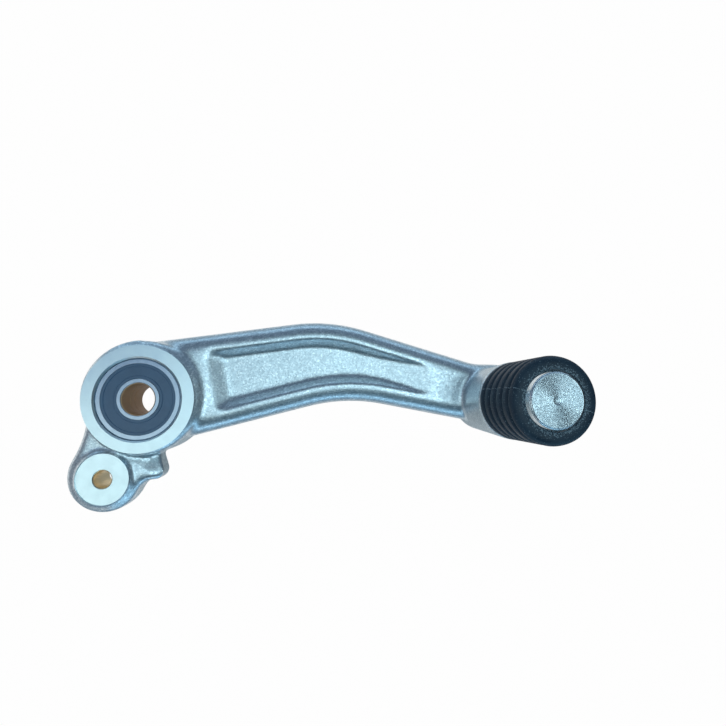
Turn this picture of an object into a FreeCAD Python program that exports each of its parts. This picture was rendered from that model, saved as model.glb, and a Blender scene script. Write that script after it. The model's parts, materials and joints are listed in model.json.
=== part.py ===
import FreeCAD, Part
import math
import os
from FreeCAD import Vector

# Brake pedal of a motorbike, in millimetres.
# The pivot axis is Y and the origin lies on it, at the middle of the hub.
# +X runs along the arm to the peg, -Y is the outer side that the peg points to, +Z is up.

# Pivot bearings, one in each end of the hub
BEARING_BORE = 10.0
BEARING_DIAMETER = 26.0
BEARING_WIDTH = 8.0
BALL_COUNT = 7
BALL_DIAMETER = 4.7625
BALL_PLAY = 0.05
RACE_SHOULDER_GAP = 1.75  # pitch circle to the shoulder of either race
OUTER_LAND = 1.6  # ring of the outer race that shows beside the seal
INNER_LAND = 1.4  # ring of the inner race that shows beside the seal
RACE_CHAMFER = 0.4
SEAL_THICKNESS = 0.9
SEAL_RECESS = 0.15
SEAL_CHANNEL = 0.2  # depth of the shallow ring in the seal's outer face
SEAL_CHANNEL_MARGIN = 1.0
SEAL_LIP_GAP = 0.12
SEAL_SIDE_GAP = 0.15
CAGE_WALL = 1.8
CAGE_POCKET_PLAY = 0.12
CAGE_PRONG = 1.2  # how far the prongs reach past the middle of the balls
CAGE_SLOT = 1.2
CAGE_SLOT_FLOOR = 0.5

# Hub
HUB_WIDTH = 20.8
HUB_DIAMETER = 36.6
HUB_AHEAD = 0.8  # how far the cast hub's middle lies ahead of the bore
HUB_LIFT = 0.6  # and above it
HUB_FACE_DIAMETER = 33.4
HUB_SHOULDER = 1.0  # axial height of the sloped shoulder beside each machined face
BEARING_RECESS = 0.6
BORE_CHAMFER = 0.5
BEARING_STOP = 1.8  # height of the inner step that the bearings seat on
SEAT_CLEARANCE = 0.02
SPACER_WALL = 1.2

# Arm
ARM_THICKNESS = 13.0
ARM_SETBACK = 2.2  # hub face to the outer face of the arm
PEG_REACH = 117.3
PEG_DROP = 0.45
CROWN_TOP_X = 60.4
CROWN_TOP_Z = 27.6
CROWN_LOW_X = 66.0
CROWN_LOW_Z = 0.9
CROWN_RADIUS = 58.0
HUB_TUCK_TOP = 0.3  # how far inside the hub's wall the arm's upper edge runs
HUB_TUCK_LOW = 2.45
TIP_AIM_TOP = 10.9  # how far from the peg's axis the arm's upper edge aims
TIP_AIM_LOW = 8.2
TIP_RISE = 13.0  # peg axis to the level top of the arm's tip
TIP_BEND_RADIUS = 20.0
TIP_END = 11.0  # peg axis to the end of the tip
TIP_CORNER = 9.0
EDGE_ROUND = 5.4
HUB_FILLET = 1.1
PEG_FILLET = 1.0

# Pocket in each face of the arm
RIM_WIDTH = 6.0
POCKET_DEPTH = 2.8
POCKET_WALL_RUN = 2.6
POCKET_START = 22.0
POCKET_START_LEAN = 0.2
POCKET_START_RUN = 6.0
POCKET_CORNER = 3.5
POCKET_FLOOR_ROUND = 1.2
FADE_START = 64.0
FADE_END = 95.0

# Push-rod eye, on a plate below the hub that also forms the stop lug
EYE_BACK = 10.3
EYE_DROP = 24.9
EYE_HOLE = 5.5
EYE_FACE_DIAMETER = 16.0
EYE_DIAMETER = 22.6
EYE_ROUND_BACK = 0.5  # how far the cast round lies behind the hole
EYE_ROUND_LIFT = 0.5  # and above it
EYE_THICKNESS = 13.0
EYE_SETBACK = 2.4  # hub face to the machined face of the eye
EYE_STEP = 1.2  # height of the machined boss over the plate, on each side
PLATE_SIDE_RADIUS = 30.0
PLATE_TUCK = 0.3  # how far inside the hub's wall the plate's rear edge runs
PLATE_ROUND = 2.6
LUG_REACH = 14.7  # eye axis to the middle of the lug's round
LUG_LIFT = 2.0
LUG_TIP_RADIUS = 2.8
LUG_HOLLOW = 5.0
LUG_RECESS = 3.6  # how far the lug's outer face falls below the plate's
RIDGE_DISTANCE = 9.4  # eye axis to the ridge where the lug's recess starts
RIDGE_ANGLE = 49.0
RIDGE_RUN = 8.0

# Peg with its rubber sleeve
PEG_ROOT_DIAMETER = 20.8
PEG_NECK_DIAMETER = 24.4
PEG_ROOT_BACK = 2.6  # how far the root stands behind the arm
PEG_ROOT_ROUND = 3.6
PEG_NECK_LENGTH = 18.1
PEG_DIAMETER = 13.0
PEG_HEAD_DIAMETER = 15.2
PEG_HEAD_THICKNESS = 2.6
PEG_HEAD_CHAMFER = 0.5
PEG_HEAD_PROUD = 0.9
CENTRE_MARK_DIAMETER = 2.4
CENTRE_MARK_DEPTH = 0.7
SLEEVE_DIAMETER = 24.0
SLEEVE_LENGTH = 22.8
SLEEVE_CLEARANCE = 0.05
SLEEVE_HEAD_GAP = 0.6
SLEEVE_END_ROUND = 2.0
GROOVE_COUNT = 5
GROOVE_PITCH = 4.2
GROOVE_WIDTH = 1.7
GROOVE_DEPTH = 1.1
GROOVE_FIRST = 2.6

# Levels along the pivot axis and radii that follow from the sizes above
HUB_FRONT = -HUB_WIDTH / 2
ARM_FRONT = HUB_FRONT + ARM_SETBACK
ARM_BACK = ARM_FRONT + ARM_THICKNESS
NECK_END = ARM_FRONT - PEG_NECK_LENGTH
SLEEVE_END = NECK_END - SLEEVE_LENGTH
PEG_END = SLEEVE_END - PEG_HEAD_PROUD
HUB_RADIUS = HUB_DIAMETER / 2
EYE_RADIUS = EYE_DIAMETER / 2
ROOT_RADIUS = PEG_ROOT_DIAMETER / 2
ROOT_BACK = ARM_BACK + PEG_ROOT_BACK
BALL_RADIUS = BALL_DIAMETER / 2
PITCH_RADIUS = (BEARING_BORE + BEARING_DIAMETER) / 4
BEARING_MIDDLE = HUB_FRONT + BEARING_RECESS + BEARING_WIDTH / 2
HALF_BEARING = BEARING_WIDTH / 2
SEAL_SEAT = BEARING_DIAMETER / 2 - OUTER_LAND
SEAL_DEPTH = SEAL_RECESS + SEAL_THICKNESS

PIVOT = (0.0, 0.0)
HUB_CAST = (HUB_AHEAD, HUB_LIFT)
PEG = (PEG_REACH, -PEG_DROP)
EYE = (-EYE_BACK, -EYE_DROP)
EYE_CAST = (EYE[0] - EYE_ROUND_BACK, EYE[1] + EYE_ROUND_LIFT)
Y_AXIS = Vector(0, 1, 0)

# How close counts as the same when edges are picked
SAME_LEVEL = 1e-6
ON_SURFACE = 1e-3


def at(point, y=0.0):
    """A point of the XZ plane, at the level y."""
    return Vector(point[0], y, point[1])


def prism(outline, y_from, y_to):
    """A straight solid on a closed outline, between two levels."""
    base = outline.copy()
    base.translate(Vector(0, y_from, 0))
    return Part.Face(base).extrude(Vector(0, y_to - y_from, 0))


def turned(centre, profile, seam=1):
    """A solid of revolution about Y from (radius, y) points; its seam is on the +X or the -X side."""
    points = [Vector(centre[0] + seam * radius, y, centre[1]) for radius, y in profile]
    outline = Part.makePolygon(points + points[:1])
    return Part.Face(outline).revolve(at(centre), Y_AXIS, 360)


def cylinder(centre, radius, y_from, y_to):
    return Part.makeCylinder(radius, y_to - y_from, at(centre, y_from), Y_AXIS)


def rounded_outline(corners):
    """A closed outline of straight lines from (x, z, radius) corners, each with its tangent arc."""
    ends = []
    for index, (x, z, radius) in enumerate(corners):
        corner = at((x, z))
        before = (at(corners[index - 1][:2]) - corner).normalize()
        after = (at(corners[(index + 1) % len(corners)][:2]) - corner).normalize()
        half_angle = before.getAngle(after) / 2
        reach = radius / math.tan(half_angle)
        inward = (before + after).normalize()
        middle = corner + inward * (radius / math.sin(half_angle) - radius)
        ends.append((corner + before * reach, middle, corner + after * reach))
    edges = []
    for index, (start, middle, end) in enumerate(ends):
        if corners[index][2] > 0:
            edges.append(Part.Arc(start, middle, end).toShape())
        edges.append(Part.LineSegment(end, ends[(index + 1) % len(ends)][0]).toShape())
    return Part.Wire(edges)


def tangent_point(corner, centre, radius, side):
    """Where a line from the corner touches a circle; side is +1 or -1."""
    dx = corner[0] - centre[0]
    dz = corner[1] - centre[1]
    angle = math.atan2(dz, dx) + side * math.acos(radius / math.hypot(dx, dz))
    return (centre[0] + radius * math.cos(angle), centre[1] + radius * math.sin(angle))


def crossing(a, b, c, d):
    """Where the line through a and b meets the line through c and d."""
    ab = (b[0] - a[0], b[1] - a[1])
    cd = (d[0] - c[0], d[1] - c[1])
    share = ((c[0] - a[0]) * cd[1] - (c[1] - a[1]) * cd[0]) / (ab[0] * cd[1] - ab[1] * cd[0])
    return (a[0] + share * ab[0], a[1] + share * ab[1])


def inset_line(a, b, distance):
    """The line through a and b, moved to its right-hand side."""
    length = math.dist(a, b)
    shift_x = distance * (b[1] - a[1]) / length
    shift_z = -distance * (b[0] - a[0]) / length
    return (a[0] + shift_x, a[1] + shift_z), (b[0] + shift_x, b[1] + shift_z)


def arm_lines(inset):
    """The four edges of the arm, clockwise from the hub's top, each moved inwards."""
    crown_top = (CROWN_TOP_X, CROWN_TOP_Z)
    crown_low = (CROWN_LOW_X, CROWN_LOW_Z)
    hub_top = tangent_point(crown_top, HUB_CAST, HUB_RADIUS - HUB_TUCK_TOP, 1)
    peg_top = tangent_point(crown_top, PEG, TIP_AIM_TOP, -1)
    peg_low = tangent_point(crown_low, PEG, TIP_AIM_LOW, 1)
    hub_low = tangent_point(crown_low, HUB_CAST, HUB_RADIUS - HUB_TUCK_LOW, -1)
    runs = [(hub_top, crown_top), (crown_top, peg_top), (peg_low, crown_low), (crown_low, hub_low)]
    return [inset_line(a, b, inset) for a, b in runs]


def arm_outline():
    """The arm's edges with its two bends rounded, its near end inside the hub and its tip rounded."""
    top_rise, top_fall, low_rise, low_fall = arm_lines(0)
    tip_z = PEG[1] + TIP_RISE
    tip_top = ((PEG_REACH, tip_z), (PEG_REACH + TIP_END, tip_z))
    tip_end = ((PEG_REACH + TIP_END, 0.0), (PEG_REACH + TIP_END, 1.0))
    return rounded_outline([
        (*top_rise[0], 0),
        (*top_rise[1], CROWN_RADIUS),
        (*crossing(*top_fall, *tip_top), TIP_BEND_RADIUS),
        (*crossing(*tip_top, *tip_end), TIP_CORNER),
        (*crossing(*low_rise, *tip_end), TIP_CORNER),
        (*low_rise[1], CROWN_RADIUS),
        (*low_fall[1], 0),
    ])


def long_level_edges(solid):
    """The edges along the arm, at its two faces."""
    level = edges_at(solid, ARM_FRONT) + edges_at(solid, ARM_BACK)
    return [edge for edge in level if edge.BoundBox.XLength > HUB_RADIUS]


def arm_body():
    blank = prism(arm_outline(), ARM_FRONT, ARM_BACK)
    return blank.makeFillet(EDGE_ROUND, long_level_edges(blank))


def pocket_outline():
    """The pocket's mouth: the arm's outline moved in, cut off by a leaning near end."""
    top_rise, top_fall, low_rise, low_fall = arm_lines(RIM_WIDTH)
    near = ((POCKET_START, 0.0), (POCKET_START - POCKET_START_LEAN, 1.0))
    far = ((FADE_END + POCKET_DEPTH, 0.0), (FADE_END + POCKET_DEPTH, 1.0))
    return rounded_outline([
        (*crossing(*near, *top_rise), POCKET_CORNER),
        (*crossing(*top_rise, *top_fall), CROWN_RADIUS - RIM_WIDTH),
        (*crossing(*top_fall, *far), 0),
        (*crossing(*low_rise, *far), 0),
        (*crossing(*low_rise, *low_fall), CROWN_RADIUS + RIM_WIDTH),
        (*crossing(*near, *low_fall), POCKET_CORNER),
    ])


def edges_at(solid, level):
    """The edges of a solid that lie at one level."""
    return [edge for edge in solid.Edges
            if max(abs(edge.BoundBox.YMin - level), abs(edge.BoundBox.YMax - level)) < SAME_LEVEL]


def tall_wall(outline):
    """A wall on an outline in the XY plane that runs past the arm above and below."""
    height = 2 * (CROWN_TOP_Z + HUB_DIAMETER)
    wall = Part.Face(outline).extrude(Vector(0, 0, height))
    wall.translate(Vector(0, 0, -height / 2))
    return wall


def near_ramp(floor):
    """What stays under the gentle slope at the pocket's near end."""
    corners = [
        Vector(POCKET_START - POCKET_DEPTH, ARM_FRONT, 0),
        Vector(POCKET_START, ARM_FRONT, 0),
        Vector(POCKET_START + POCKET_START_RUN, floor, 0),
        Vector(POCKET_START - POCKET_DEPTH, floor, 0),
    ]
    wall = tall_wall(Part.makePolygon(corners + corners[:1]))
    wall.rotate(Vector(POCKET_START, 0, 0), Y_AXIS, -math.degrees(math.atan(POCKET_START_LEAN)))
    return wall


def far_fade(floor):
    """What stays under the floor as it rises along an arc to the arm's face."""
    run = FADE_END - FADE_START
    radius = (run ** 2 + POCKET_DEPTH ** 2) / (2 * POCKET_DEPTH)
    half_turn = math.asin(run / radius) / 2
    start = Vector(FADE_START, floor, 0)
    rise = radius * (1 - math.cos(half_turn))
    middle = Vector(FADE_START + radius * math.sin(half_turn), floor - rise, 0)
    end = Vector(FADE_END, ARM_FRONT, 0)
    past = Vector(FADE_END + 2 * POCKET_DEPTH, ARM_FRONT, 0)
    under = Vector(FADE_END + 2 * POCKET_DEPTH, floor, 0)
    corners = [end, past, under, start]
    edges = [Part.Arc(start, middle, end).toShape()]
    edges += [Part.LineSegment(a, b).toShape() for a, b in zip(corners, corners[1:])]
    return tall_wall(Part.Wire(edges))


def pocket_cutter():
    """The pocket of the outer face: sloped walls, a rounded floor edge and a floor that fades out."""
    floor = ARM_FRONT + POCKET_DEPTH
    basin = prism(pocket_outline(), ARM_FRONT, floor)
    basin = basin.makeChamfer(POCKET_WALL_RUN, edges_at(basin, floor))
    basin = basin.makeFillet(POCKET_FLOOR_ROUND, edges_at(basin, floor))
    return basin.cut(near_ramp(floor)).cut(far_fade(floor))


def hub_body():
    """The hub's blank: a cast barrel a little off the bore, sloped to a machined face at each end."""
    foot = HUB_FRONT + HUB_SHOULDER
    barrel = turned(HUB_CAST, [(0, foot), (HUB_RADIUS, foot), (HUB_RADIUS, -foot), (0, -foot)], -1)
    rings = [
        Part.makeCircle(HUB_FACE_DIAMETER / 2, at(PIVOT, HUB_FRONT), Y_AXIS),
        Part.makeCircle(HUB_RADIUS, at(HUB_CAST, foot), Y_AXIS),
    ]
    shoulder = Part.makeLoft([Part.Wire(ring) for ring in rings], True, True)
    return barrel.fuse([shoulder, shoulder.mirror(Vector(0, 0, 0), Y_AXIS)]).removeSplitter()


def hub_bore():
    """What is taken out of the hub: a seat for each bearing, the step between them and the mouths."""
    seat = BEARING_DIAMETER / 2 + SEAT_CLEARANCE
    step = seat - BEARING_STOP
    mouth = seat + BORE_CHAMFER
    depth = HUB_FRONT + BEARING_RECESS + BEARING_WIDTH
    front = [
        (0, HUB_FRONT),
        (mouth, HUB_FRONT),
        (seat, HUB_FRONT + BORE_CHAMFER),
        (seat, depth),
        (step, depth),
    ]
    rear = [(radius, -y) for radius, y in reversed(front)]
    return turned(PIVOT, front + rear)


def hollow_centre(near, near_radius, far, far_radius, radius, side):
    """The centre of an arc that hollows the gap between two circles and touches both."""
    span = math.dist(near, far)
    from_near = near_radius + radius
    from_far = far_radius + radius
    along = (from_near ** 2 - from_far ** 2 + span ** 2) / (2 * span)
    aside = side * math.sqrt(from_near ** 2 - along ** 2)
    way_x = (far[0] - near[0]) / span
    way_z = (far[1] - near[1]) / span
    return (near[0] + along * way_x - aside * way_z, near[1] + along * way_z + aside * way_x)


def toward(start, end, distance):
    """The point at a distance from the start, on the way to the end."""
    share = distance / math.dist(start, end)
    return (start[0] + share * (end[0] - start[0]), start[1] + share * (end[1] - start[1]))


def arc_about(centre, start, end, turn):
    """The arc from start to end about a centre, anticlockwise as seen from the outer side if turn is 1."""
    radius = math.dist(centre, start)
    first = math.atan2(start[1] - centre[1], start[0] - centre[0])
    last = math.atan2(end[1] - centre[1], end[0] - centre[0])
    half_sweep = (turn * (last - first)) % (2 * math.pi) / 2
    angle = first + turn * half_sweep
    middle = (centre[0] + radius * math.cos(angle), centre[1] + radius * math.sin(angle))
    return Part.Arc(at(start), at(middle), at(end)).toShape()


def plate_outline():
    """The plate's edge: hollowed from the hub to the eye, round it, hollowed to the lug, round its tip."""
    hub = HUB_RADIUS - PLATE_TUCK
    tip = (EYE[0] + LUG_REACH, EYE[1] + LUG_LIFT)
    rear = hollow_centre(HUB_CAST, hub, EYE_CAST, EYE_RADIUS, PLATE_SIDE_RADIUS, -1)
    front = hollow_centre(EYE_CAST, EYE_RADIUS, tip, LUG_TIP_RADIUS, LUG_HOLLOW, -1)
    hub_rear = toward(HUB_CAST, rear, hub)
    eye_rear = toward(EYE_CAST, rear, EYE_RADIUS)
    eye_front = toward(EYE_CAST, front, EYE_RADIUS)
    tip_low = toward(tip, front, LUG_TIP_RADIUS)
    tip_side = tangent_point(PIVOT, tip, LUG_TIP_RADIUS, -1)
    return Part.Wire([
        arc_about(rear, hub_rear, eye_rear, -1),
        arc_about(EYE_CAST, eye_rear, eye_front, 1),
        arc_about(front, eye_front, tip_low, -1),
        arc_about(tip, tip_low, tip_side, 1),
        Part.LineSegment(at(tip_side), at(PIVOT)).toShape(),
        Part.LineSegment(at(PIVOT), at(hub_rear)).toShape(),
    ])


def lug_recess(front):
    """What is taken off the plate so that the lug lies behind a sloped ridge."""
    reach = LUG_REACH + EYE_DIAMETER
    corners = [
        Vector(RIDGE_DISTANCE, front, 0),
        Vector(RIDGE_DISTANCE + RIDGE_RUN, front + LUG_RECESS, 0),
        Vector(reach, front + LUG_RECESS, 0),
        Vector(reach, front, 0),
    ]
    cutter = Part.Face(Part.makePolygon(corners + corners[:1])).extrude(Vector(0, 0, 2 * reach))
    cutter.translate(Vector(0, 0, -reach))
    cutter.rotate(Vector(0, 0, 0), Y_AXIS, -RIDGE_ANGLE)
    cutter.translate(at(EYE))
    return cutter


def plate_body():
    """The plate with rounded edges, and the eye's machined boss on each side of it."""
    face = HUB_FRONT + EYE_SETBACK
    front = face + EYE_STEP
    back = face + EYE_THICKNESS - EYE_STEP
    blank = prism(plate_outline(), front, back)
    rims = [edge for edge in edges_at(blank, front) + edges_at(blank, back)
            if min(math.dist((end.X, end.Z), PIVOT) for end in edge.Vertexes) > SAME_LEVEL]
    plate = blank.makeFillet(PLATE_ROUND, rims).cut(lug_recess(front))
    boss_face = EYE_FACE_DIAMETER / 2
    boss_foot = boss_face + EYE_STEP
    boss = turned(EYE, [
        (0, face),
        (boss_face, face),
        (boss_foot, front),
        (boss_foot, back),
        (boss_face, face + EYE_THICKNESS),
        (0, face + EYE_THICKNESS),
    ])
    return plate.fuse(boss)


def peg_body():
    """The peg's root, tapered neck, core and retaining head with its centre mark."""
    head = PEG_HEAD_DIAMETER / 2
    core = PEG_DIAMETER / 2
    blank = turned(PEG, [
        (0, ROOT_BACK),
        (ROOT_RADIUS, ROOT_BACK),
        (PEG_NECK_DIAMETER / 2, NECK_END),
        (core, NECK_END),
        (core, PEG_END + PEG_HEAD_THICKNESS),
        (head, PEG_END + PEG_HEAD_THICKNESS),
        (head, PEG_END + PEG_HEAD_CHAMFER),
        (head - PEG_HEAD_CHAMFER, PEG_END),
        (CENTRE_MARK_DIAMETER / 2, PEG_END),
        (0, PEG_END + CENTRE_MARK_DEPTH),
    ])
    return blank.makeFillet(PEG_ROOT_ROUND, edges_at(blank, ROOT_BACK))


def lies_on(edge, body):
    """Whether an edge runs along the surface of a body."""
    span = edge.LastParameter - edge.FirstParameter
    points = [edge.valueAt(edge.FirstParameter + share * span) for share in (0.2, 0.5, 0.8)]
    return all(Part.Vertex(point).distToShape(body.Shells[0])[0] < ON_SURFACE for point in points)


def meeting_edges(fused, first, second):
    """The edges of a fused solid where its two bodies meet."""
    return [edge for edge in fused.Edges if lies_on(edge, first) and lies_on(edge, second)]


def pedal_lever():
    """The casting, machined at the hub, the eye and the peg's head."""
    arm = arm_body()
    hub = hub_body()
    peg = peg_body()
    body = arm.fuse([hub, peg]).removeSplitter()
    body = body.makeFillet(HUB_FILLET, meeting_edges(body, arm, hub))
    body = body.makeFillet(PEG_FILLET, meeting_edges(body, arm, peg))
    body = body.fuse(plate_body())
    pocket = pocket_cutter()
    middle = Vector(0, (ARM_FRONT + ARM_BACK) / 2, 0)
    body = body.cut([pocket, pocket.mirror(middle, Y_AXIS), hub_bore()])
    body = body.cut(cylinder(EYE, EYE_HOLE / 2, HUB_FRONT, -HUB_FRONT))
    return body.removeSplitter()


def peg_sleeve():
    """The rubber sleeve: ring grooves outside, a counterbore round the peg's head."""
    outer = SLEEVE_DIAMETER / 2
    bore = PEG_DIAMETER / 2 + SLEEVE_CLEARANCE
    mouth = PEG_HEAD_DIAMETER / 2 + SLEEVE_HEAD_GAP
    seat = PEG_END + PEG_HEAD_THICKNESS + SLEEVE_CLEARANCE
    body = turned(PEG, [(bore, NECK_END), (outer, NECK_END), (outer, SLEEVE_END), (mouth, SLEEVE_END),
                        (mouth, seat), (bore, seat)])
    ends = edges_at(body, SLEEVE_END)
    rim = [edge for edge in ends if edge.BoundBox.XLength > 2 * mouth + SLEEVE_HEAD_GAP]
    body = body.makeFillet(SLEEVE_END_ROUND, rim)
    deep = outer - GROOVE_DEPTH
    past = outer + GROOVE_DEPTH
    for index in range(GROOVE_COUNT):
        y = NECK_END - GROOVE_FIRST - index * GROOVE_PITCH
        body = body.cut(turned(PEG, [(deep, y), (past, y + GROOVE_WIDTH), (past, y - GROOVE_WIDTH)]))
    return body


def raceway():
    """The ring-shaped space that the balls run in."""
    return Part.makeTorus(PITCH_RADIUS, BALL_RADIUS + BALL_PLAY, Vector(0, 0, 0), Y_AXIS)


def outer_race():
    radius = BEARING_DIAMETER / 2
    shoulder = PITCH_RADIUS + RACE_SHOULDER_GAP
    half = [
        (shoulder, HALF_BEARING - SEAL_DEPTH),
        (SEAL_SEAT, HALF_BEARING - SEAL_DEPTH),
        (SEAL_SEAT, HALF_BEARING),
        (radius - RACE_CHAMFER, HALF_BEARING),
        (radius, HALF_BEARING - RACE_CHAMFER),
    ]
    return turned(PIVOT, half + [(r, -y) for r, y in reversed(half)]).cut(raceway())


def inner_race():
    bore = BEARING_BORE / 2
    land = bore + INNER_LAND
    shoulder = PITCH_RADIUS - RACE_SHOULDER_GAP
    step = HALF_BEARING - SEAL_DEPTH - SEAL_SIDE_GAP
    half = [
        (shoulder, step),
        (land, step),
        (land, HALF_BEARING),
        (bore + RACE_CHAMFER, HALF_BEARING),
        (bore, HALF_BEARING - RACE_CHAMFER),
    ]
    return turned(PIVOT, half + [(r, -y) for r, y in reversed(half)]).cut(raceway())


def seal():
    """The outward seal: seated in the outer race, its lip just clear of the inner race."""
    rim = SEAL_SEAT - SEAT_CLEARANCE
    lip = BEARING_BORE / 2 + INNER_LAND + SEAL_LIP_GAP
    face = -HALF_BEARING + SEAL_RECESS
    back = -HALF_BEARING + SEAL_DEPTH
    channel = face + SEAL_CHANNEL
    return turned(PIVOT, [
        (lip, back),
        (lip, face),
        (lip + SEAL_CHANNEL_MARGIN - SEAL_CHANNEL, face),
        (lip + SEAL_CHANNEL_MARGIN, channel),
        (rim - SEAL_CHANNEL_MARGIN, channel),
        (rim - SEAL_CHANNEL_MARGIN + SEAL_CHANNEL, face),
        (rim, face),
        (rim, back),
    ])


def sphere(radius):
    """A sphere on the pitch circle with its seam on the outward side and its poles along the radius."""
    start = Vector(-radius, 0, 0)
    end = Vector(radius, 0, 0)
    arc = Part.Arc(start, Vector(0, -radius, 0), end).toShape()
    half_disc = Part.Face(Part.Wire([arc, Part.LineSegment(end, start).toShape()]))
    solid = half_disc.revolve(Vector(0, 0, 0), Vector(1, 0, 0), 360)
    solid.translate(Vector(PITCH_RADIUS, 0, 0))
    return solid


def turned_to(shape, place):
    """A copy of a shape, turned about the pivot to its place among the balls."""
    copy = shape.copy()
    copy.rotate(Vector(0, 0, 0), Y_AXIS, 360 * place / BALL_COUNT)
    return copy


def cage():
    """A snap-in cage: a ring on the hub's side and a pair of prongs round each ball."""
    back = HALF_BEARING - SEAL_DEPTH - SEAL_SIDE_GAP
    inner = PITCH_RADIUS - CAGE_WALL / 2
    outer = PITCH_RADIUS + CAGE_WALL / 2
    body = turned(PIVOT, [(inner, -CAGE_PRONG), (outer, -CAGE_PRONG), (outer, back), (inner, back)])
    pocket = sphere(BALL_RADIUS + CAGE_POCKET_PLAY)
    slot = Part.makeBox(2 * CAGE_WALL, CAGE_PRONG + CAGE_SLOT_FLOOR + CAGE_WALL, CAGE_SLOT)
    slot.translate(Vector(PITCH_RADIUS - CAGE_WALL, -CAGE_PRONG - CAGE_WALL, -CAGE_SLOT / 2))
    for index in range(BALL_COUNT):
        body = body.cut(turned_to(pocket, index)).cut(turned_to(slot, index + 0.5))
    return body


def front_bearing():
    """The pieces of the front bearing, in place, by name."""
    middle = Vector(0, 0, 0)
    pieces = {
        "outer_race": outer_race(),
        "inner_race": inner_race(),
        "outer_seal": seal(),
        "inner_seal": seal().mirror(middle, Y_AXIS),
        "cage": cage(),
    }
    for index in range(BALL_COUNT):
        pieces[f"ball_{index + 1}"] = turned_to(sphere(BALL_RADIUS), index)
    for shape in pieces.values():
        shape.translate(Vector(0, BEARING_MIDDLE, 0))
    return pieces


def spacer_sleeve():
    """The tube between the two inner races."""
    bore = BEARING_BORE / 2
    end = -BEARING_MIDDLE - HALF_BEARING
    return cylinder(PIVOT, bore + SPACER_WALL, -end, end).cut(cylinder(PIVOT, bore, -end, end))


def all_nodes():
    nodes = {
        "pedal_lever": pedal_lever(),
        "peg_sleeve": peg_sleeve(),
        "spacer_sleeve": spacer_sleeve(),
    }
    for name, shape in front_bearing().items():
        nodes["front_" + name] = shape
        nodes["rear_" + name] = shape.mirror(Vector(0, 0, 0), Y_AXIS)
    return nodes


os.makedirs("parts", exist_ok=True)
for node, shape in all_nodes().items():
    shape.exportStep(f"parts/{node}.step")
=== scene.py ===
import json
import math

import bpy
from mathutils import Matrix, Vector


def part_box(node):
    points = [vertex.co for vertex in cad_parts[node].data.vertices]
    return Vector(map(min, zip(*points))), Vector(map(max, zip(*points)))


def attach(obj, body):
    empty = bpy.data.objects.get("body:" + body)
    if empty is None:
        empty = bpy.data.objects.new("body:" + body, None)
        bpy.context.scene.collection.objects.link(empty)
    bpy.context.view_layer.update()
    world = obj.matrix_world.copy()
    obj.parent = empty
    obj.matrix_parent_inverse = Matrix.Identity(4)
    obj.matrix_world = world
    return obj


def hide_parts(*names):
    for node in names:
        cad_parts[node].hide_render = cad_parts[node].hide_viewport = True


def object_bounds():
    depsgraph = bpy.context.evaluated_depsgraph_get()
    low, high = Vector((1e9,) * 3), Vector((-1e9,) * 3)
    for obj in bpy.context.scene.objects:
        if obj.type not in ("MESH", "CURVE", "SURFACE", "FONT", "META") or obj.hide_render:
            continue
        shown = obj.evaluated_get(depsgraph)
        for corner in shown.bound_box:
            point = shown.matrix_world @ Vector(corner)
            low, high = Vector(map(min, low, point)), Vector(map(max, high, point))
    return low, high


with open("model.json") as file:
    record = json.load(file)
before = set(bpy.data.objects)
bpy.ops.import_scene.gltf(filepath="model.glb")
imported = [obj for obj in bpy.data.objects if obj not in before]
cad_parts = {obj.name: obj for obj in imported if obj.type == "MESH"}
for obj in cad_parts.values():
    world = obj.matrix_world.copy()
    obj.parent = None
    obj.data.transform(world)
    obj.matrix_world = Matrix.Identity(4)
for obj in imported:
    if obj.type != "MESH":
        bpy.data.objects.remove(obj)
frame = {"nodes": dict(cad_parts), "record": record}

# Looks of the brake pedal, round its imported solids.
# Sizes are in metres, in the frame of the solids: the pivot axis is Y, the arm runs along +X,
# the peg points to -Y and +Z is up.
cad_low, cad_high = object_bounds()
MM = 0.001
mounts = {mount["name"]: mount for mount in frame["record"]["mounts"]}

# Camera, fitted to the photograph's square frame
PHOTO_SIDE = 726
FOCAL_PIXELS = 469.7
SENSOR_WIDTH = 36.0  # in the camera's own millimetres
CAMERA_PLACE = (52.9 * MM, -165.1 * MM, -0.4 * MM)
CAMERA_AIM = (0.11696, 0.98993, 0.07970)
CLIP_START = 10.0 * MM

# Casting
VOXEL = 0.5 * MM
SMOOTH_SHARE = 0.5  # how far a vertex moves to the middle of its neighbours in one round
SMOOTH_ROUNDS = 14
STOCK = 1.0 * MM  # what the blank stands proud of a face before it is machined
CUT_MARGIN = 6.0 * MM  # how far cutters reach past what they cut, and the peg's stock into the neck

# Softer blend from the hub into the arm, by the distance from the pivot axis
HUB_BLEND_FROM = 17.6 * MM
HUB_BLEND_FULL = 25.0 * MM  # from here on it fades
HUB_BLEND_TO = 33.0 * MM
HUB_BLEND_OUTSIDE = 5.0 * MM  # it keeps this far from the hub's middle plane
HUB_BLEND_ROUNDS = 40

# Meshes
TURN_STEPS = 144
ROUND_SEGMENTS = 4
SMOOTH_ANGLE = math.radians(30)
MERGE_DISTANCE = MM / 1000
PICK_DISTANCE = MM / 100

# Machined places
HUB_FACE_RADIUS = 16.7 * MM
SEAT_CLEARANCE = 0.02 * MM
BORE_CHAMFER = 0.5 * MM
BEARING_STOP = 1.8 * MM  # height of the step that the bearings seat on
EYE_FACE_RADIUS = 8.0 * MM
EYE_CHAMFER = 0.3 * MM
PEG_RADIUS = 6.5 * MM
HEAD_RADIUS = 7.6 * MM
HEAD_THICKNESS = 2.6 * MM
HEAD_CHAMFER = 0.5 * MM
CENTRE_MARK_RADIUS = 1.2 * MM
CENTRE_MARK_DEPTH = 0.7 * MM

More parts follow.
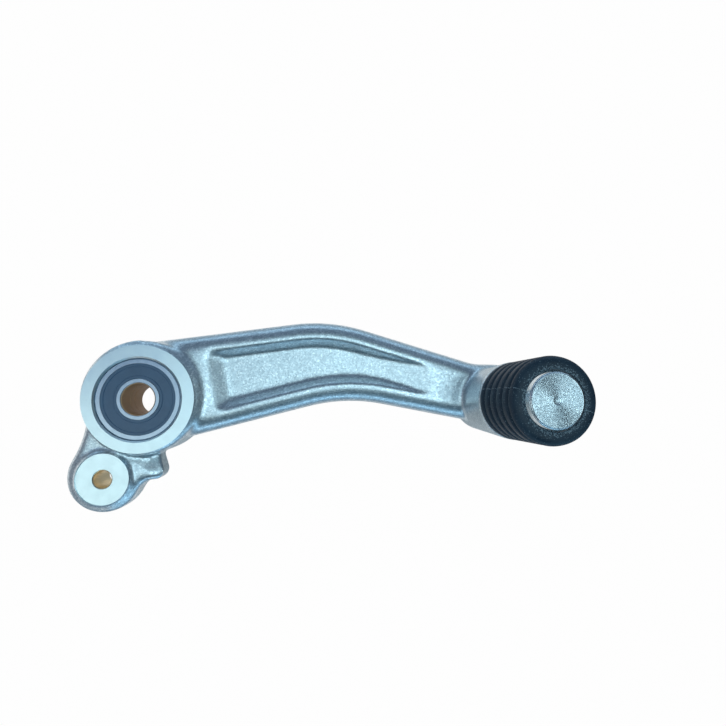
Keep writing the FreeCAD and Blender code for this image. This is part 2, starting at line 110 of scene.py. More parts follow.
# Rubber sleeve
SLEEVE_CLEARANCE = 0.05 * MM
SLEEVE_HEAD_GAP = 0.6 * MM
SLEEVE_END_ROUND = 2.0 * MM
SLEEVE_MOUTH_ROUND = 0.5 * MM
SLEEVE_ROOT_ROUND = 0.15 * MM
GROOVE_COUNT = 5
GROOVE_PITCH = 4.2 * MM
GROOVE_FIRST = 2.6 * MM
GROOVE_HALF_WIDTH = 0.85 * MM
GROOVE_DEPTH = 1.1 * MM
GROOVE_LIP_ROUND = 0.5 * MM
GROOVE_FLOOR_ROUND = 0.35 * MM
MOULD_ANGLE = math.radians(17)
MOULD_LINE = 0.2 * MM

# Pale specks on the sleeve: dust where its speckle passes these values, and painted highlights where it
# is lifted at the mouth and on the mould line
DUST_AND_HIGHLIGHT_COLOUR = (0.17, 0.23, 0.27)
DUST_AND_HIGHLIGHT_FROM = 0.62
DUST_AND_HIGHLIGHT_FULL = 0.74
DUST_AND_HIGHLIGHT_AT_MOUTH = 0.17
DUST_AND_HIGHLIGHT_ON_LINE = 0.16
DUST_AND_HIGHLIGHT_IN = 8.6 * MM
DUST_AND_HIGHLIGHT_OUT = 10.0 * MM

# Bearings
BALL_COUNT = 7
# Painted shade: the walls of the bearings' bore and of the machined holes take the brown colours below
PAINTED_SHADE_EDGE = 0.3 * MM
BORE_PAINTED_SHADE_COLOUR = (0.62, 0.38, 0.20)
HOLE_PAINTED_SHADE_COLOUR = (0.92, 0.74, 0.46)

# Textures
CLOUD_SPAN = (0.3, 0.7)  # where most values of a noise lie
FULL_SPAN = (0.0, 1.0)
WAVE_LENGTH = 0.314  # of a wave texture at scale 1
METAL = {"Metallic": 1.0}

# Studio
WORLD_DIM = 0.3
WORLD_WHITE = 0.99  # as white as the floor shows, so that there is no horizon
FLOOR_SIZE = 12.0
FLOOR_DROP = 0.35
FLOOR_GLOW = 0.985
PANEL_Y = -0.60
TOP_Z = 0.36
BOTTOM_Z = -0.30
DAYLIGHT = (0.66, 0.90, 1.0)
FORWARD = (0, 1, 0)
BACKWARD = (0, -1, 0)
RIGHT = (1, 0, 0)
LEFT = (-1, 0, 0)
UP = (0, 0, 1)
DOWN = (0, 0, -1)
STUDIO_CARDS = (
    # Name, middle, facing, width, height, colour and strength of the light panels behind the camera
    ("front_panel", (0.03, PANEL_Y, 0.005), FORWARD, 0.32, 0.35, DAYLIGHT, 1.5),
    ("tip_panel", (0.235, PANEL_Y, -0.015), FORWARD, 0.09, 0.27, DAYLIGHT, 4.5),
    ("peg_panel", (0.33, PANEL_Y, -0.015), FORWARD, 0.10, 0.27, DAYLIGHT, 3.0),
    ("right_low_panel", (0.30, PANEL_Y, -0.27), FORWARD, 0.22, 0.24, DAYLIGHT, 2.2),
    ("right_high_panel", (0.57, PANEL_Y, 0.22), FORWARD, 0.16, 0.16, DAYLIGHT, 1.5),
    ("low_panel", (-0.305, PANEL_Y, -0.155), FORWARD, 0.35, 0.33, (0.80, 0.98, 1.0), 1.65),
    ("high_panel", (-0.305, PANEL_Y, 0.14), FORWARD, 0.35, 0.26, (0.28, 0.50, 1.0), 0.42),
    # The same of the dim walls, ceiling and floor of the light tent, with a bright strip above and below
    ("camera_wall", (0.0, -0.62, 0.0), FORWARD, 1.2, 1.1, (0.6, 0.85, 1.0), 0.14),
    ("top_card", (0.05, -0.33, TOP_Z), DOWN, 1.6, 0.54, (0.50, 0.68, 1.0), 0.22),
    ("top_strip", (0.05, -0.015, TOP_Z), DOWN, 1.6, 0.09, (0.50, 0.74, 0.95), 1.7),
    ("top_back_card", (0.05, 0.165, TOP_Z), DOWN, 1.6, 0.27, (0.60, 0.78, 0.95), 0.45),
    ("bottom_card", (0.05, -0.33, BOTTOM_Z), UP, 1.6, 0.54, (0.36, 0.68, 1.0), 0.12),
    ("bottom_strip", (0.40, -0.015, BOTTOM_Z), UP, 0.84, 0.09, (0.42, 0.72, 0.95), 2.2),
    ("bottom_back_card", (0.05, 0.165, BOTTOM_Z), UP, 1.6, 0.27, (0.50, 0.72, 0.95), 0.35),
    ("right_card", (0.60, -0.1, 0.0), LEFT, 1.2, 1.1, (0.70, 0.85, 1.0), 0.11),
    ("left_card", (-0.50, -0.3, 0.0), RIGHT, 0.6, 1.1, (0.8, 0.85, 1.0), 0.28),
    ("back_card", (0.05, 0.35, -0.02), BACKWARD, 1.2, 0.36, (0.75, 0.86, 0.92), 0.4),
)

# Places read from the frame
sleeve_low, sleeve_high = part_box("peg_sleeve")
lever_low, lever_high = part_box("pedal_lever")
race_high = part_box("front_outer_race")[1]
SLEEVE_RADIUS = (sleeve_high.x - sleeve_low.x) / 2
SLEEVE_END = sleeve_low.y
NECK_END = sleeve_high.y
PEG_END = lever_low.y
HUB_HALF = lever_high.y
BEARING_RADIUS = race_high.x
BEARING_IN = -race_high.y
PIVOT_RADIUS = mounts["pivot_bore"]["dims"]["r_mm"] * MM
EYE_HOLE_RADIUS = mounts["pushrod_eye"]["dims"]["r_mm"] * MM
EYE_HALF = mounts["pushrod_eye"]["dims"]["length_mm"] * MM / 2
EYE_X, EYE_Y, EYE_Z = mounts["pushrod_eye"]["pos_m"]

# Axes along Y, by their X and Z
PIVOT = (0.0, 0.0)
EYE = (EYE_X, EYE_Z)
PEG = ((sleeve_low.x + sleeve_high.x) / 2, (sleeve_low.z + sleeve_high.z) / 2)


# Modelling

def deselect_all():
    for other in bpy.context.selected_objects:
        other.select_set(False)


def make_active(piece):
    deselect_all()
    piece.select_set(True)
    bpy.context.view_layer.objects.active = piece


def apply_modifier(piece, kind, **settings):
    """Adds a modifier with its settings and applies it."""
    make_active(piece)
    modifier = piece.modifiers.new(kind.lower(), kind)
    for key, value in settings.items():
        setattr(modifier, key, value)
    bpy.ops.object.modifier_apply(modifier=modifier.name)


def pick_vertices(piece, wanted):
    """Selects, in edit mode, the vertices that a test accepts."""
    bpy.ops.mesh.select_mode(type="VERT")
    bpy.ops.mesh.select_all(action="DESELECT")
    bpy.ops.object.mode_set(mode="OBJECT")
    for vertex in piece.data.vertices:
        vertex.select = wanted(vertex.co)
    bpy.ops.object.mode_set(mode="EDIT")


def drawn_profile(name, centre, profile):
    """A closed outline in the half plane right of an axis along Y, drawn by extruding one vertex
    from point to point; each profile point is (radius, y). It is left in edit mode."""
    deselect_all()
    start = Vector((centre[0] + profile[0][0], profile[0][1], centre[1]))
    bpy.ops.mesh.primitive_plane_add(size=MM, location=start)
    piece = bpy.context.object
    piece.name = name
    bpy.ops.object.transform_apply(location=True, rotation=False, scale=False)
    bpy.ops.object.mode_set(mode="EDIT")
    bpy.ops.mesh.select_all(action="SELECT")
    bpy.ops.mesh.merge(type="CENTER")
    for (radius, y), (next_radius, next_y) in zip(profile, profile[1:] + profile[:1]):
        step = (next_radius - radius, next_y - y, 0)
        bpy.ops.mesh.extrude_region_move(TRANSFORM_OT_translate={"value": step})
    bpy.ops.mesh.select_all(action="SELECT")
    bpy.ops.mesh.remove_doubles(threshold=MERGE_DISTANCE)
    return piece


def turned_piece(name, centre, profile, rounds=()):
    """A turned solid: its profile's corners are rounded where rounds gives (radius, y, round),
    and the outline is spun about the axis."""
    piece = drawn_profile(name, centre, profile)
    for radius, y, size in rounds:
        corner = Vector((centre[0] + radius, y, centre[1]))
        pick_vertices(piece, lambda place: (place - corner).length < PICK_DISTANCE)
        bpy.ops.mesh.bevel(offset=size, segments=ROUND_SEGMENTS, affect="VERTICES")
    bpy.ops.mesh.select_all(action="SELECT")
    middle = (centre[0], 0, centre[1])
    bpy.ops.mesh.spin(steps=TURN_STEPS, angle=math.tau, center=middle, axis=(0, 1, 0))
    bpy.ops.mesh.select_all(action="SELECT")
    bpy.ops.mesh.remove_doubles(threshold=MERGE_DISTANCE)
    bpy.ops.mesh.normals_make_consistent(inside=False)
    bpy.ops.object.mode_set(mode="OBJECT")
    return piece


def mirrored(profile):
    """A profile's mirror image in the plane y = 0, from its last point to its first."""
    return [(radius, -y) for radius, y in reversed(profile)]


def smooth_by_angle(piece):
    make_active(piece)
    bpy.ops.object.shade_smooth_by_angle(angle=SMOOTH_ANGLE)


def finish_piece(piece, body, slot, *nodes):
    """Puts a piece on its body in place of the solids that it stands for."""
    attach(piece, body)
    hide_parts(*nodes)


# Textures

def new_material(name, even=()):
    """A node material with one shader; even holds the sockets that are the same all over."""
    material = bpy.data.materials.new(name)
    material.use_nodes = True
    tree = material.node_tree
    tree.nodes.clear()
    shader = tree.nodes.new("ShaderNodeBsdfPrincipled")
    for socket, value in dict(even).items():
        shader.inputs[socket].default_value = value
    output = tree.nodes.new("ShaderNodeOutputMaterial")
    tree.links.new(shader.outputs["BSDF"], output.inputs["Surface"])
    return material, tree, shader


def object_place(tree, centre=PIVOT):
    """Object coordinates, measured from an axis along Y."""
    coordinates = tree.nodes.new("ShaderNodeTexCoord")
    mapping = tree.nodes.new("ShaderNodeMapping")
    mapping.inputs["Location"].default_value = (-centre[0], 0, -centre[1])
    tree.links.new(coordinates.outputs["Object"], mapping.inputs["Vector"])
    return mapping.outputs["Vector"]


def noise(tree, place, grain, detail=2.0):
    """Noise with grains of a given size."""
    texture = tree.nodes.new("ShaderNodeTexNoise")
    texture.inputs["Scale"].default_value = 1 / grain
    texture.inputs["Detail"].default_value = detail
    tree.links.new(place, texture.inputs["Vector"])
    return texture.outputs["Fac"]


def grains(tree, place, size):
    """Two values that differ from grain to grain of the metal."""
    cells = tree.nodes.new("ShaderNodeTexVoronoi")
    cells.inputs["Scale"].default_value = 1 / size
    tree.links.new(place, cells.inputs["Vector"])
    split = tree.nodes.new("ShaderNodeSeparateColor")
    tree.links.new(cells.outputs["Color"], split.inputs["Color"])
    return split.outputs["Red"], split.outputs["Green"]


def turning_rings(tree, place, pitch):
    """Rings about an axis along Y, as a lathe leaves them."""
    wave = tree.nodes.new("ShaderNodeTexWave")
    wave.wave_type = "RINGS"
    wave.rings_direction = "Y"
    wave.inputs["Scale"].default_value = WAVE_LENGTH / pitch
    wave.inputs["Distortion"].default_value = 0.0
    wave.inputs["Detail"].default_value = 0.0
    tree.links.new(place, wave.inputs["Vector"])
    return wave.outputs["Fac"]


def axis_distance(tree, place):
    """The distance from an axis along Y."""
    flat = tree.nodes.new("ShaderNodeVectorMath")
    flat.operation = "MULTIPLY"
    flat.inputs[1].default_value = (1, 0, 1)
    tree.links.new(place, flat.inputs[0])
    length = tree.nodes.new("ShaderNodeVectorMath")
    length.operation = "LENGTH"
    tree.links.new(flat.outputs["Vector"], length.inputs[0])
    return length.outputs["Value"]


def rise(tree, value, low, high):
    """0 at low, 1 at high, even in between and level beyond."""
    node = tree.nodes.new("ShaderNodeMapRange")
    node.inputs["From Min"].default_value = low
    node.inputs["From Max"].default_value = high
    tree.links.new(value, node.inputs["Value"])
    return node.outputs["Result"]


def outside_hole(tree, place, radius):
    """0 on the wall of a hole about the Y axis, 1 outside it."""
    distance = axis_distance(tree, place)
    return rise(tree, distance, radius + PAINTED_SHADE_EDGE / 2, radius + PAINTED_SHADE_EDGE)


def mould_line(tree, place):
    """1 along the seam that the two halves of the sleeve's mould leave, 0 elsewhere."""
    across = tree.nodes.new("ShaderNodeVectorMath")
    across.operation = "DOT_PRODUCT"
    across.inputs[1].default_value = (math.sin(MOULD_ANGLE), 0, math.cos(MOULD_ANGLE))
    tree.links.new(place, across.inputs[0])
    distance = tree.nodes.new("ShaderNodeMath")
    distance.operation = "ABSOLUTE"
    tree.links.new(across.outputs["Value"], distance.inputs[0])
    return rise(tree, distance.outputs["Value"], MOULD_LINE, MOULD_LINE / 2)


def added(tree, first, second, share):
    """The first value plus a share of the second."""
    node = tree.nodes.new("ShaderNodeMath")
    node.operation = "MULTIPLY_ADD"
    tree.links.new(second, node.inputs[0])
    node.inputs[1].default_value = share
    tree.links.new(first, node.inputs[2])
    return node.outputs["Value"]


def ramp(tree, factor, stops):
    """Colours along a factor, from (place, colour) stops."""
    node = tree.nodes.new("ShaderNodeValToRGB")
    elements = node.color_ramp.elements
    for place, colour in stops[1:-1]:
        elements.new(place)
    for element, (place, colour) in zip(elements, stops):
        element.position = place
        element.color = (*colour, 1)
    tree.links.new(factor, node.inputs["Fac"])
    return node.outputs["Color"]


def two_tones(tree, factor, first, second, span=CLOUD_SPAN):
    """From the first colour to the second, over a span of the factor."""
    return ramp(tree, factor, [(span[0], first), (span[1], second)])


def grain_tones(tree, factor, dark, silver, bright, silver_at):
    """Metal grains from dark to bright, with the silver ones at a given place between."""
    return ramp(tree, factor, [(0.0, dark), (silver_at, silver), (1.0, bright)])


def blend(tree, factor, first, second):
    """The first colour where the factor is 0, the second where it is 1; either may be a socket."""
    node = tree.nodes.new("ShaderNodeMix")
    node.data_type = "RGBA"
    tree.links.new(factor, node.inputs["Factor"])
    for side, colour in (("A", first), ("B", second)):
        if isinstance(colour, tuple):
            node.inputs[side].default_value = (*colour, 1)
        else:
            tree.links.new(colour, node.inputs[side])
    return node.outputs["Result"]


def bump(tree, height, strength, depth, under=None):
    """A normal for a relief, on top of the relief under it."""
    node = tree.nodes.new("ShaderNodeBump")
    node.inputs["Strength"].default_value = strength
    node.inputs["Distance"].default_value = depth
    tree.links.new(height, node.inputs["Height"])
    if under:
        tree.links.new(under, node.inputs["Normal"])
    return node.outputs["Normal"]


def set_colour(tree, shader, colour):
    tree.links.new(colour, shader.inputs["Base Color"])


def set_roughness(tree, shader, factor, low, high, span=CLOUD_SPAN):
    """Roughness from low to high, over a span of the factor."""
    rough = two_tones(tree, factor, (low, low, low), (high, high, high), span)
    tree.links.new(rough, shader.inputs["Roughness"])


def set_relief(tree, shader, normal):
    tree.links.new(normal, shader.inputs["Normal"])


# Materials

def cast_aluminium():
    """Shot-blasted casting: silver grains that catch the light one by one."""
    material, tree, shader = new_material("cast_aluminium", METAL)
    place = object_place(tree)
    tone, gloss = grains(tree, place, size=0.45 * MM)
    dark = (0.50, 0.58, 0.62)
    silver = (0.66, 0.75, 0.79)
    bright = (0.84, 0.91, 0.93)
    set_colour(tree, shader, grain_tones(tree, tone, dark, silver, bright, silver_at=0.75))
    set_roughness(tree, shader, gloss, low=0.30, high=0.46, span=FULL_SPAN)
    broad = noise(tree, place, grain=1.6 * MM)
    fine = noise(tree, place, grain=0.35 * MM)
    waves = bump(tree, broad, strength=0.2, depth=0.25 * MM)
    set_relief(tree, shader, bump(tree, fine, strength=0.4, depth=0.1 * MM, under=waves))
    return material


def machined_aluminium(name, centre, hole):
    """A milled face with fine rings about its axis, and painted brown shade on the wall of its hole."""
    material, tree, shader = new_material(name, METAL)
    place = object_place(tree, centre)
    cloud = noise(tree, place, grain=3.0 * MM)
    clean = two_tones(tree, cloud, (0.66, 0.76, 0.79), (0.72, 0.82, 0.84))
    # Painted shade: the wall of the hole is brown
    set_colour(tree, shader, blend(tree, outside_hole(tree, place, hole), HOLE_PAINTED_SHADE_COLOUR, clean))
    set_roughness(tree, shader, cloud, low=0.30, high=0.38)
    rings = turning_rings(tree, place, pitch=0.25 * MM)
    set_relief(tree, shader, bump(tree, rings, strength=0.12, depth=0.02 * MM))
    return material


def turned_peg():
    """The peg's head, turned with a coarse tool: sparkling grains between deep rings."""
    material, tree, shader = new_material("turned_peg", METAL)
    place = object_place(tree, PEG)
    tone, gloss = grains(tree, place, size=0.3 * MM)
    dark = (0.40, 0.47, 0.51)
    silver = (0.60, 0.69, 0.73)
    bright = (0.88, 0.95, 0.97)
    set_colour(tree, shader, grain_tones(tree, tone, dark, silver, bright, silver_at=0.7))
    set_roughness(tree, shader, gloss, low=0.18, high=0.34, span=FULL_SPAN)
    rings = turning_rings(tree, place, pitch=0.3 * MM)
    specks = noise(tree, place, grain=0.4 * MM)
    turned = bump(tree, rings, strength=1.0, depth=0.03 * MM)
    set_relief(tree, shader, bump(tree, specks, strength=0.2, depth=0.12 * MM, under=turned))
    return material


def bearing_steel():
    """Ground steel with faint rings about the pivot, and painted shade in the bore, where it is brown,
    dull and not metallic.
    """
    material, tree, shader = new_material("bearing_steel")
    place = object_place(tree)
    cloud = noise(tree, place, grain=2.0 * MM)
    clean = two_tones(tree, cloud, (0.36, 0.42, 0.50), (0.42, 0.48, 0.56))
    # Painted shade: the bore's wall is brown, dull and not metallic
    outside = outside_hole(tree, place, PIVOT_RADIUS)
    set_colour(tree, shader, blend(tree, outside, BORE_PAINTED_SHADE_COLOUR, clean))
    tree.links.new(outside, shader.inputs["Metallic"])
    set_roughness(tree, shader, outside, low=0.5, high=0.28, span=FULL_SPAN)
    rings = turning_rings(tree, place, pitch=0.15 * MM)
    set_relief(tree, shader, bump(tree, rings, strength=0.1, depth=0.02 * MM))
    return material


def polished_steel():
    """Bearing balls, with faint clouds in the polish."""
    even = {"Base Color": (0.78, 0.80, 0.82, 1), **METAL}
    material, tree, shader = new_material("polished_steel", even)
    cloud = noise(tree, object_place(tree), grain=1.0 * MM)
    set_roughness(tree, shader, cloud, low=0.06, high=0.12)
    return material


def seal_rubber():
    """Blue-grey moulded rubber with a fine skin."""
    material, tree, shader = new_material("seal_rubber")
    place = object_place(tree)
    cloud = noise(tree, place, grain=4.0 * MM, detail=4.0)
    set_colour(tree, shader, two_tones(tree, cloud, (0.070, 0.130, 0.215), (0.088, 0.158, 0.255)))
    set_roughness(tree, shader, cloud, low=0.34, high=0.44)
    skin = noise(tree, place, grain=0.3 * MM)
    set_relief(tree, shader, bump(tree, skin, strength=0.2, depth=0.08 * MM))
    return material


def sleeve_dust_and_highlights(tree, place, line):
    """Where the sleeve is pale: dust specks all over, and painted highlights closer round its mouth and
    along the mould line.
    """
    mouth = rise(tree, axis_distance(tree, place), DUST_AND_HIGHLIGHT_OUT, DUST_AND_HIGHLIGHT_IN)
    specks = noise(tree, place, grain=0.35 * MM, detail=3.0)
    # Painted highlights: the specks are lifted round the mouth and along the mould line
    specks = added(tree, specks, mouth, DUST_AND_HIGHLIGHT_AT_MOUTH)
    specks = added(tree, specks, line, DUST_AND_HIGHLIGHT_ON_LINE)
    return rise(tree, specks, DUST_AND_HIGHLIGHT_FROM, DUST_AND_HIGHLIGHT_FULL)


def sleeve_rubber():
    """Black moulded rubber with a mould line, pale dust and painted highlights."""
    material, tree, shader = new_material("sleeve_rubber", {"Specular IOR Level": 0.3})
    place = object_place(tree, PEG)
    line = mould_line(tree, place)
    cloud = noise(tree, place, grain=4.0 * MM, detail=4.0)
    clean = two_tones(tree, cloud, (0.009, 0.025, 0.043), (0.018, 0.041, 0.064))
    # Pale specks: dust all over, and painted highlights round the mouth and along the mould line
    set_colour(tree, shader, blend(tree, sleeve_dust_and_highlights(tree, place, line), clean, DUST_AND_HIGHLIGHT_COLOUR))
    set_roughness(tree, shader, cloud, low=0.42, high=0.6)
    skin = noise(tree, place, grain=0.3 * MM)
    rubber = bump(tree, skin, strength=0.35, depth=0.08 * MM)
    set_relief(tree, shader, bump(tree, line, strength=0.6, depth=0.12 * MM, under=rubber))
    return material


def cage_nylon():
    """Off-white moulded nylon."""
    material, tree, shader = new_material("cage_nylon", {"Roughness": 0.5})
    cloud = noise(tree, object_place(tree), grain=1.5 * MM)
    set_colour(tree, shader, two_tones(tree, cloud, (0.52, 0.46, 0.33), (0.60, 0.55, 0.42)))
    return material


CAST = cast_aluminium()
HUB_MACHINED = machined_aluminium("machined_hub", PIVOT, PIVOT_RADIUS)
EYE_MACHINED = machined_aluminium("machined_eye", EYE, EYE_HOLE_RADIUS)
PEG_TURNED = turned_peg()
BEARING_STEEL = bearing_steel()
POLISHED_STEEL = polished_steel()
SLEEVE_RUBBER = sleeve_rubber()
SEAL_RUBBER = seal_rubber()
CAGE_NYLON = cage_nylon()


# Pedal lever: a cast blank with stock where it is machined, then cut to size

def stock(name, centre, radius, y_from, y_to):
    """A plain round bar along Y."""
    return turned_piece(name, centre, [(0, y_from), (radius, y_from), (radius, y_to), (0, y_to)])


def soften_hub_end(blank):
    """Widens the blend from the hub to the arm and the near end of the pocket, and fades it out."""
    group = blank.vertex_groups.new(name="hub_end")
    fade = HUB_BLEND_TO - HUB_BLEND_FULL
    for vertex in blank.data.vertices:
        place = vertex.co
        reach = math.hypot(place.x, place.z)
        in_reach = HUB_BLEND_FROM < reach < HUB_BLEND_TO
        if in_reach and place.x > 0 and abs(place.y) > HUB_BLEND_OUTSIDE:
            group.add([vertex.index], min(1.0, (HUB_BLEND_TO - reach) / fade), "REPLACE")
    apply_modifier(blank, "SMOOTH", factor=SMOOTH_SHARE, iterations=HUB_BLEND_ROUNDS,
                   vertex_group=group.name)
    blank.vertex_groups.clear()


def cast_blank():
    """The casting before it is machined, with soft edges all over."""
    blank = bpy.data.objects.new("pedal_lever_cast", frame["nodes"]["pedal_lever"].data.copy())
    bpy.context.scene.collection.objects.link(blank)
    blank.data.materials.clear()
    make_active(blank)
    bpy.ops.object.mode_set(mode="EDIT")
    bpy.ops.mesh.select_all(action="SELECT")
    bpy.ops.mesh.remove_doubles(threshold=MERGE_DISTANCE)
    bpy.ops.object.mode_set(mode="OBJECT")
    eye_front = EYE_Y - EYE_HALF
    eye_back = EYE_Y + EYE_HALF
    bars = [
        stock("hub_stock", PIVOT, HUB_FACE_RADIUS, -HUB_HALF - STOCK, HUB_HALF + STOCK),
        stock("eye_stock", EYE, EYE_FACE_RADIUS, eye_front - STOCK, eye_back + STOCK),
        stock("peg_stock", PEG, HEAD_RADIUS + STOCK, PEG_END - STOCK, NECK_END + CUT_MARGIN),
    ]
    make_active(blank)
    for bar in bars:
        bar.select_set(True)
    bpy.ops.object.join()
    apply_modifier(blank, "REMESH", mode="VOXEL", voxel_size=VOXEL)
    apply_modifier(blank, "SMOOTH", factor=SMOOTH_SHARE, iterations=SMOOTH_ROUNDS)
    soften_hub_end(blank)
    blank.data.materials.append(CAST)
    return blank


def hub_cutter():
    """Facing cuts on both sides of the hub, and its stepped bore with chamfered mouths."""
    seat = BEARING_RADIUS + SEAT_CLEARANCE
    step = seat - BEARING_STOP
    mouth = seat + BORE_CHAMFER
    out = HUB_HALF + CUT_MARGIN
    wide = HUB_FACE_RADIUS + CUT_MARGIN
    front = [
        (0, -out),
        (wide, -out),
        (wide, -HUB_HALF),
        (mouth, -HUB_HALF),
        (seat, -HUB_HALF + BORE_CHAMFER),
        (seat, -BEARING_IN),
        (step, -BEARING_IN),
    ]
    return turned_piece("hub_cutter", PIVOT, front + mirrored(front))


def eye_cutter():
    """Spot faces on both sides of the eye, and its hole with broken edges."""
    out = EYE_HALF + CUT_MARGIN
    front = [
        (0, -out),
        (EYE_FACE_RADIUS, -out),
        (EYE_FACE_RADIUS, -EYE_HALF),
        (EYE_HOLE_RADIUS + EYE_CHAMFER, -EYE_HALF),
        (EYE_HOLE_RADIUS, -EYE_HALF + EYE_CHAMFER),
    ]
    profile = [(radius, EYE_Y + y) for radius, y in front + mirrored(front)]
    return turned_piece("eye_cutter", EYE, profile)


def peg_cutter():
    """What a lathe takes off round the peg, its head and its centre mark."""
    wide = SLEEVE_RADIUS + CUT_MARGIN
    under_head = PEG_END + HEAD_THICKNESS
    return turned_piece("peg_cutter", PEG, [
        (PEG_RADIUS, NECK_END),
        (wide, NECK_END),
        (wide, PEG_END - CUT_MARGIN),
        (0, PEG_END - CUT_MARGIN),
        (0, PEG_END + CENTRE_MARK_DEPTH),
        (CENTRE_MARK_RADIUS, PEG_END),
        (HEAD_RADIUS - HEAD_CHAMFER, PEG_END),
        (HEAD_RADIUS, PEG_END + HEAD_CHAMFER),
        (HEAD_RADIUS, under_head),
        (PEG_RADIUS, under_head),
    ])


def machine(blank, cutter, material):
    """Cuts a blank; the cut faces take the machined material."""
    cutter.data.materials.append(material)
    apply_modifier(blank, "BOOLEAN", operation="DIFFERENCE", object=cutter, solver="EXACT",
                   material_mode="TRANSFER")
    bpy.data.objects.remove(cutter)


def pedal_lever():
    lever = cast_blank()
    machine(lever, hub_cutter(), HUB_MACHINED)
    machine(lever, eye_cutter(), EYE_MACHINED)
    machine(lever, peg_cutter(), PEG_TURNED)
    smooth_by_angle(lever)
    finish_piece(lever, "lever", "cast_alloy", "pedal_lever")


# Rubber sleeve

def ribbed_sleeve():
    """The sleeve with its ring grooves, rounded end and counterbore round the peg's head."""
    bore = PEG_RADIUS + SLEEVE_CLEARANCE
    mouth = HEAD_RADIUS + SLEEVE_HEAD_GAP
    seat = PEG_END + HEAD_THICKNESS + SLEEVE_CLEARANCE
    floor = SLEEVE_RADIUS - GROOVE_DEPTH
    profile = [(bore, NECK_END), (SLEEVE_RADIUS, NECK_END)]
    rounds = [(SLEEVE_RADIUS, NECK_END, SLEEVE_ROOT_ROUND)]
    for index in range(GROOVE_COUNT):
        y = NECK_END - GROOVE_FIRST - index * GROOVE_PITCH
        near = (SLEEVE_RADIUS, y + GROOVE_HALF_WIDTH)
        far = (SLEEVE_RADIUS, y - GROOVE_HALF_WIDTH)
        profile += [near, (floor, y), far]
        rounds += [
            (*near, GROOVE_LIP_ROUND),
            (floor, y, GROOVE_FLOOR_ROUND),
            (*far, GROOVE_LIP_ROUND),
        ]
    profile += [(SLEEVE_RADIUS, SLEEVE_END), (mouth, SLEEVE_END), (mouth, seat), (bore, seat)]
    rounds += [
        (SLEEVE_RADIUS, SLEEVE_END, SLEEVE_END_ROUND),
        (mouth, SLEEVE_END, SLEEVE_MOUTH_ROUND),
    ]
    sleeve = turned_piece("peg_sleeve_ribbed", PEG, profile, rounds)
    sleeve.data.materials.append(SLEEVE_RUBBER)
    smooth_by_angle(sleeve)
    sleeve.visible_glossy = False  # the dull metal shows no mirror image of it
    finish_piece(sleeve, "lever", "peg_rubber", "peg_sleeve")


# Bearings, which show as their solids are

def dress(node, material):
    """Gives a solid its material."""
    materials = frame["nodes"][node].data.materials
    materials.clear()
    materials.append(material)


def dress_bearings():
    for side in ("front", "rear"):
        dress(f"{side}_outer_race", BEARING_STEEL)
        dress(f"{side}_inner_race", BEARING_STEEL)
        dress(f"{side}_outer_seal", SEAL_RUBBER)
        dress(f"{side}_inner_seal", SEAL_RUBBER)
        dress(f"{side}_cage", CAGE_NYLON)
        for index in range(BALL_COUNT):
            dress(f"{side}_ball_{index + 1}", POLISHED_STEEL)
    dress("spacer_sleeve", BEARING_STEEL)


# Stage

def photo_camera():
    """The camera where the photograph was taken from."""
    camera = bpy.data.objects.new("camera", bpy.data.cameras.new("camera"))
    bpy.context.scene.collection.objects.link(camera)
    camera.data.sensor_width = SENSOR_WIDTH
    camera.data.lens = SENSOR_WIDTH * FOCAL_PIXELS / PHOTO_SIDE
    camera.data.clip_start = CLIP_START
    camera.location = CAMERA_PLACE
    camera.rotation_mode = "QUATERNION"
    camera.rotation_quaternion = Vector(CAMERA_AIM).to_track_quat("-Z", "Y")
    bpy.context.scene.camera = camera


def seen_directly(tree):
    """1 on camera, glossy and transmission rays, which see the white surroundings as they are."""
    path = tree.nodes.new("ShaderNodeLightPath")
    seen = path.outputs["Is Camera Ray"]
    for ray in ("Is Glossy Ray", "Is Transmission Ray"):
        either = tree.nodes.new("ShaderNodeMath")
        either.operation = "MAXIMUM"
        tree.links.new(seen, either.inputs[0])
        tree.links.new(path.outputs[ray], either.inputs[1])
        seen = either.outputs["Value"]
    return seen


def white_world():
    """White all round where it is seen, dimmer as a light on matt surfaces."""
    world = bpy.data.worlds.new("studio")
    bpy.context.scene.world = world
    world.use_nodes = True
    tree = world.node_tree
    tree.nodes.clear()
    mix = tree.nodes.new("ShaderNodeMixShader")
    tree.links.new(seen_directly(tree), mix.inputs["Fac"])
    for socket, strength in ((1, WORLD_DIM), (2, WORLD_WHITE)):
        background = tree.nodes.new("ShaderNodeBackground")
        background.inputs["Color"].default_value = (1, 1, 1, 1)
        background.inputs["Strength"].default_value = strength
        tree.links.new(background.outputs["Background"], mix.inputs[socket])
    output = tree.nodes.new("ShaderNodeOutputWorld")
    tree.links.new(mix.outputs["Shader"], output.inputs["Surface"])


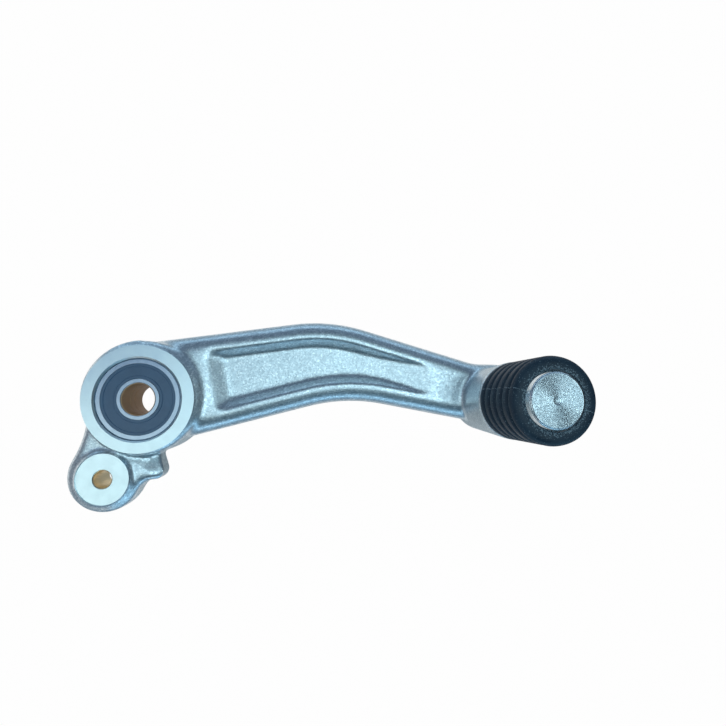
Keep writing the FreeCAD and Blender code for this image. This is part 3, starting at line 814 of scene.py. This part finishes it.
def pale_floor():
    """A white floor below the pedal that keeps a faint shadow."""
    deselect_all()
    bpy.ops.mesh.primitive_plane_add(size=FLOOR_SIZE, location=(0, 0, cad_low.z - FLOOR_DROP))
    floor = bpy.context.object
    floor.name = "floor"
    even = {"Base Color": (0.9, 0.9, 0.9, 1), "Roughness": 0.9}
    material, tree, shader = new_material("pale_floor", even)
    glow = tree.nodes.new("ShaderNodeEmission")
    share = tree.nodes.new("ShaderNodeMath")
    share.operation = "MULTIPLY"
    share.inputs[1].default_value = FLOOR_GLOW
    tree.links.new(seen_directly(tree), share.inputs[0])
    mix = tree.nodes.new("ShaderNodeMixShader")
    tree.links.new(share.outputs["Value"], mix.inputs["Fac"])
    tree.links.new(shader.outputs["BSDF"], mix.inputs[1])
    tree.links.new(glow.outputs["Emission"], mix.inputs[2])
    tree.links.new(mix.outputs["Shader"], tree.nodes["Material Output"].inputs["Surface"])
    floor.data.materials.append(material)


def glowing(name, colour, strength):
    """A material that only gives light."""
    material = bpy.data.materials.new(name)
    material.use_nodes = True
    tree = material.node_tree
    tree.nodes.clear()
    glow = tree.nodes.new("ShaderNodeEmission")
    glow.inputs["Color"].default_value = (*colour, 1)
    glow.inputs["Strength"].default_value = strength
    output = tree.nodes.new("ShaderNodeOutputMaterial")
    tree.links.new(glow.outputs["Emission"], output.inputs["Surface"])
    return material


def studio_card(name, middle, facing, width, height, colour, strength):
    """A soft light panel, or a dim card, that shows in the metal but not to the camera."""
    deselect_all()
    bpy.ops.mesh.primitive_plane_add(size=1, location=middle)
    card = bpy.context.object
    card.name = name
    card.rotation_mode = "QUATERNION"
    card.rotation_quaternion = Vector(facing).to_track_quat("Z", "Y")
    card.scale = (width, height, 1)
    card.visible_camera = False
    card.visible_shadow = False
    card.data.materials.append(glowing(name, colour, strength))


def studio():
    bpy.context.scene.view_settings.view_transform = "Standard"
    photo_camera()
    white_world()
    pale_floor()
    for card in STUDIO_CARDS:
        studio_card(*card)


pedal_lever()
ribbed_sleeve()
dress_bearings()
studio()
